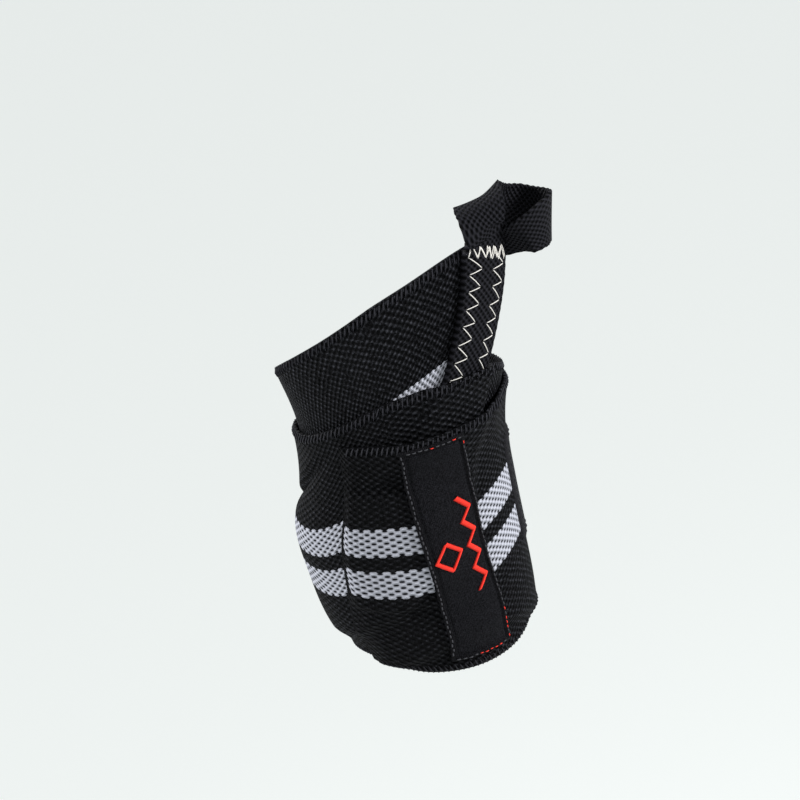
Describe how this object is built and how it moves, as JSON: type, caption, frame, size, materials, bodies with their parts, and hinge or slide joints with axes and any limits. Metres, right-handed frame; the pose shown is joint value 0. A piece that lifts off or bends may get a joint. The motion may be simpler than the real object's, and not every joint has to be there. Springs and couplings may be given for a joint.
{
  "type": "wrist wrap",
  "caption": "Elastic lifting wrist wrap, wound in the form it takes on a right wrist, with a sewn thumb loop, a twill label and a hook-and-loop end.",
  "frame": {"origin": "middle of the hollow for the wrist, level with the middle of the stripes on the thumb side", "axes": "+Z along the arm from the forearm to the hand, -Y out of the palm side, +X towards the thumb"},
  "size_m": [0.0924, 0.0589, 0.146],
  "materials": {
    "knitted_elastic": "ribbed black knitted elastic with two off-white stripes",
    "elastic_tape": "black woven elastic tape",
    "label_twill": "black satin twill",
    "loop_pile": "black brushed loop pile",
    "hook_tape": "black hook tape"
  },
  "bodies": {
    "root": {"elastic_band": "knitted_elastic", "thumb_loop": "elastic_tape", "label": "label_twill", "loop_patch": "loop_pile", "hook_patch": "hook_tape"}
  },
  "joints": []
}
